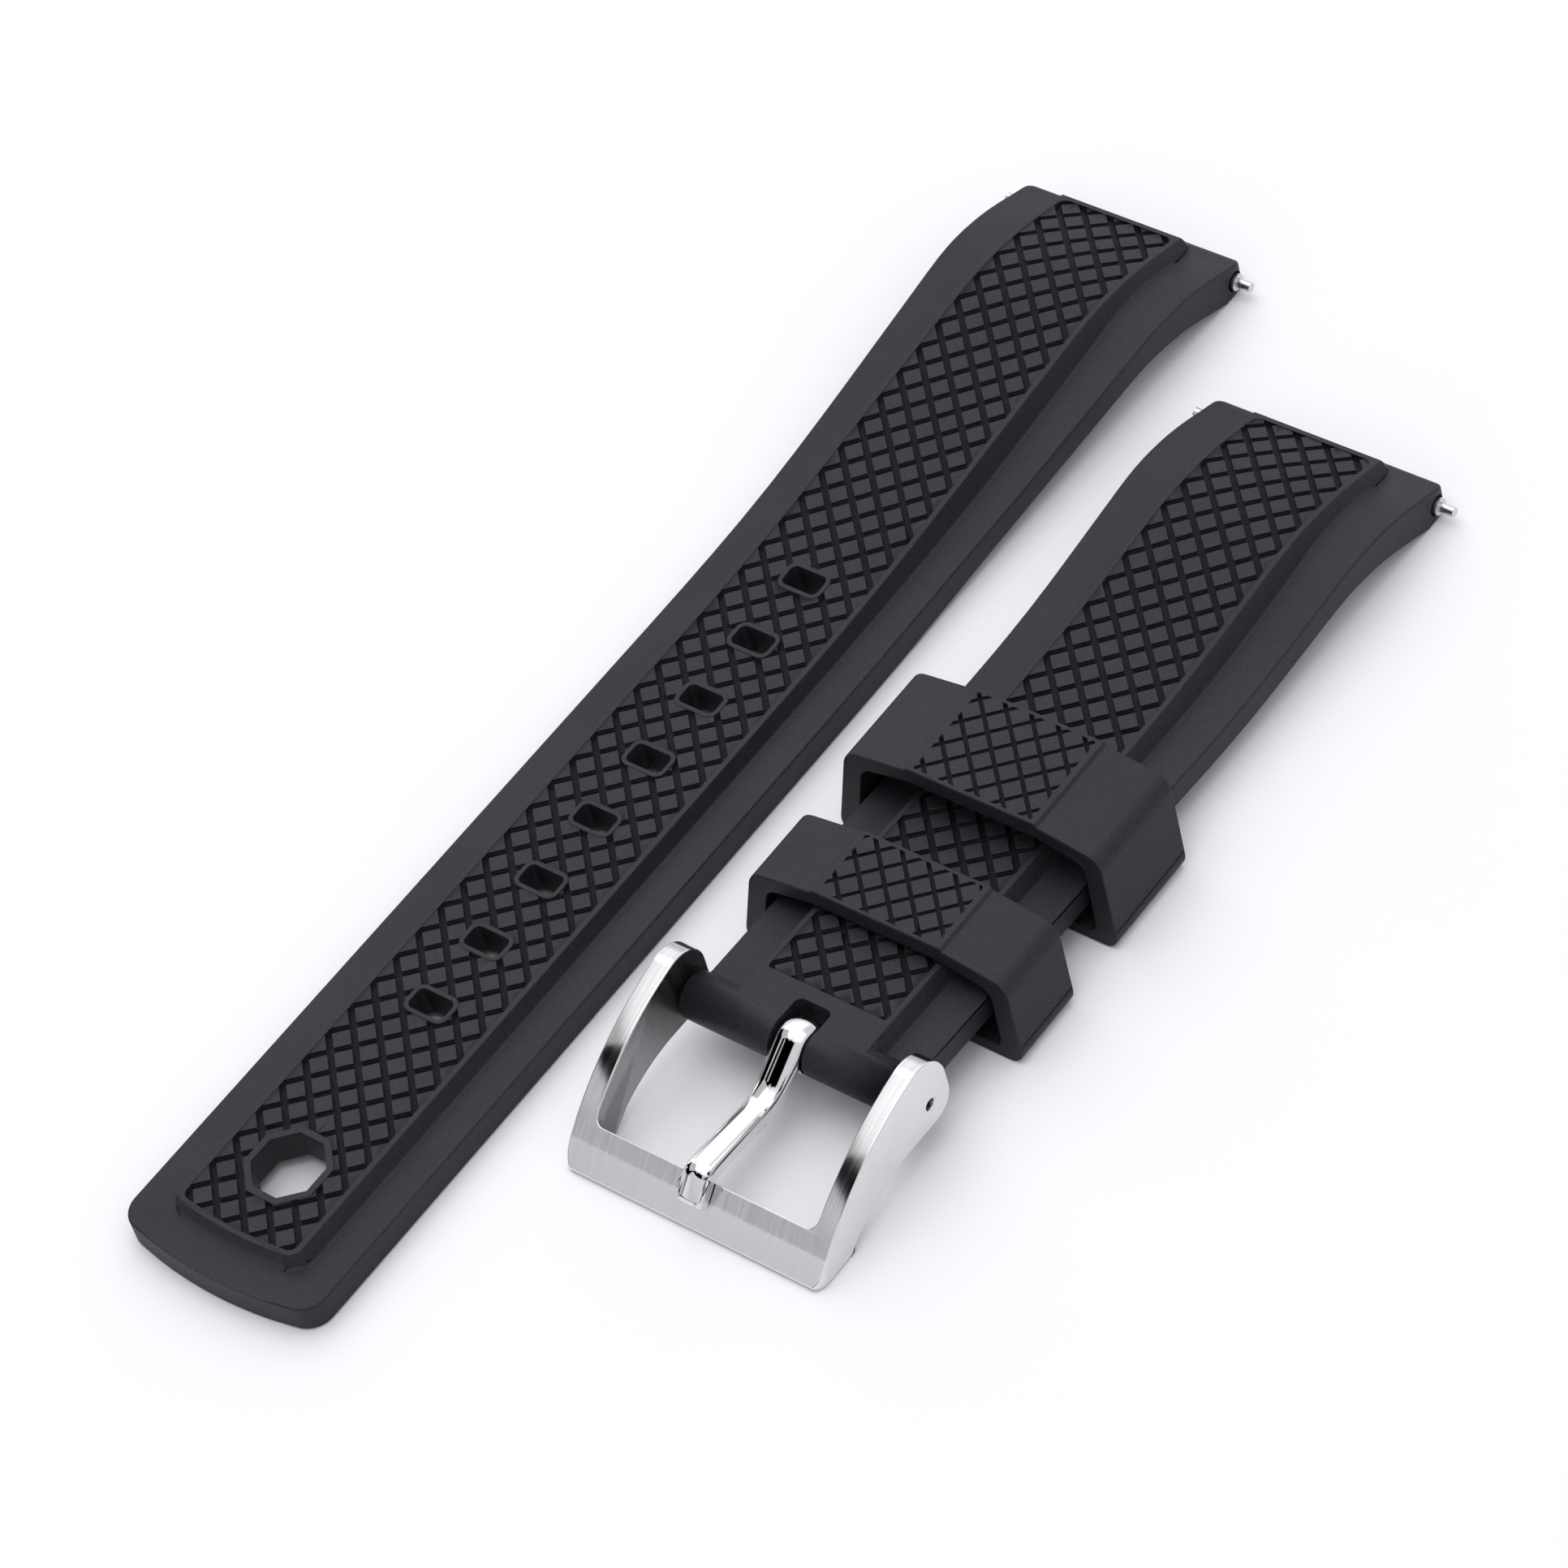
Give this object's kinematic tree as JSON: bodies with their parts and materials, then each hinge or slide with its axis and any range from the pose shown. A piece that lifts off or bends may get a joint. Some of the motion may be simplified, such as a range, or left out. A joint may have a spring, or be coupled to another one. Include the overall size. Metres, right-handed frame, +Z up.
{
  "type": "watch strap",
  "caption": "Rubber watch strap in a buckle half and a hole half, with raised lattice panels, sliding keepers, a hinged steel pin buckle and sprung bars at the lugs.",
  "frame": {"origin": "centre of the base of the pair's box as the two halves lie side by side on a table", "axes": "+Y along both halves towards their lug ends, +X across from the hole half to the buckle half, +Z up"},
  "size_m": [0.0552, 0.1243, 0.0095],
  "materials": {
    "rubber": "matte, fine-grained",
    "buckle_steel": "brushed",
    "tongue_steel": "polished",
    "bar_steel": "bright"
  },
  "bodies": {
    "buckle_half": {"buckle_strap": "rubber", "short_bar_tube": "bar_steel", "short_bar_spring": "bar_steel", "buckle_bar_tube": "bar_steel", "buckle_bar_spring": "bar_steel"},
    "hole_half": {"hole_strap": "rubber", "long_bar_tube": "bar_steel", "long_bar_spring": "bar_steel"},
    "buckle": {"buckle_frame": "buckle_steel"},
    "tongue": {"buckle_tongue": "tongue_steel"},
    "large_keeper": {"keeper_large": "rubber"},
    "small_keeper": {"keeper_small": "rubber"},
    "long_bar_left": {"long_bar_pin_left": "bar_steel"},
    "long_bar_right": {"long_bar_pin_right": "bar_steel"},
    "short_bar_left": {"short_bar_pin_left": "bar_steel"},
    "short_bar_right": {"short_bar_pin_right": "bar_steel"},
    "buckle_bar_left": {"buckle_bar_pin_left": "bar_steel"},
    "buckle_bar_right": {"buckle_bar_pin_right": "bar_steel"}
  },
  "joints": [
    {"name": "buckle_hinge", "type": "hinge", "parent": "buckle_half", "child": "buckle", "pos_m": [0.0146, -0.02385, 0.00497], "axis": [-1, 0, 0], "range_deg": [-110, 35]},
    {"name": "tongue_hinge", "type": "hinge", "parent": "buckle", "child": "tongue", "pos_m": [0.0146, -0.02385, 0.00497], "axis": [-1, 0, 0], "range_deg": [0, 95]},
    {"name": "large_keeper_slide", "type": "slide", "parent": "buckle_half", "child": "large_keeper", "axis": [0, 1, 0], "range_m": [-0.002, 0.012]},
    {"name": "small_keeper_slide", "type": "slide", "parent": "buckle_half", "child": "small_keeper", "axis": [0, 1, 0], "range_m": [-0.004, 0.003]},
    {"name": "hole_half_lift", "type": "slide", "parent": "buckle_half", "child": "hole_half", "axis": [0, 0, 1], "range_m": [0, 0.04]},
    {"name": "long_bar_left_tip", "type": "slide", "parent": "hole_half", "child": "long_bar_left", "axis": [1, 0, 0], "range_m": [0, 0.00165], "stiffness_N_per_m": 800, "springref_m": -0.001, "deforming": ["long_bar_spring"]},
    {"name": "long_bar_right_tip", "type": "slide", "parent": "hole_half", "child": "long_bar_right", "axis": [-1, 0, 0], "range_m": [0, 0.00165], "stiffness_N_per_m": 800, "springref_m": -0.001, "deforming": ["long_bar_spring"]},
    {"name": "short_bar_left_tip", "type": "slide", "parent": "buckle_half", "child": "short_bar_left", "axis": [1, 0, 0], "range_m": [0, 0.00165], "stiffness_N_per_m": 800, "springref_m": -0.001, "deforming": ["short_bar_spring"]},
    {"name": "short_bar_right_tip", "type": "slide", "parent": "buckle_half", "child": "short_bar_right", "axis": [-1, 0, 0], "range_m": [0, 0.00165], "stiffness_N_per_m": 800, "springref_m": -0.001, "deforming": ["short_bar_spring"]},
    {"name": "buckle_bar_left_tip", "type": "slide", "parent": "buckle_half", "child": "buckle_bar_left", "axis": [1, 0, 0], "range_m": [0, 0.00165], "stiffness_N_per_m": 800, "springref_m": -0.001, "deforming": ["buckle_bar_spring"]},
    {"name": "buckle_bar_right_tip", "type": "slide", "parent": "buckle_half", "child": "buckle_bar_right", "axis": [-1, 0, 0], "range_m": [0, 0.00165], "stiffness_N_per_m": 800, "springref_m": -0.001, "deforming": ["buckle_bar_spring"]}
  ]
}
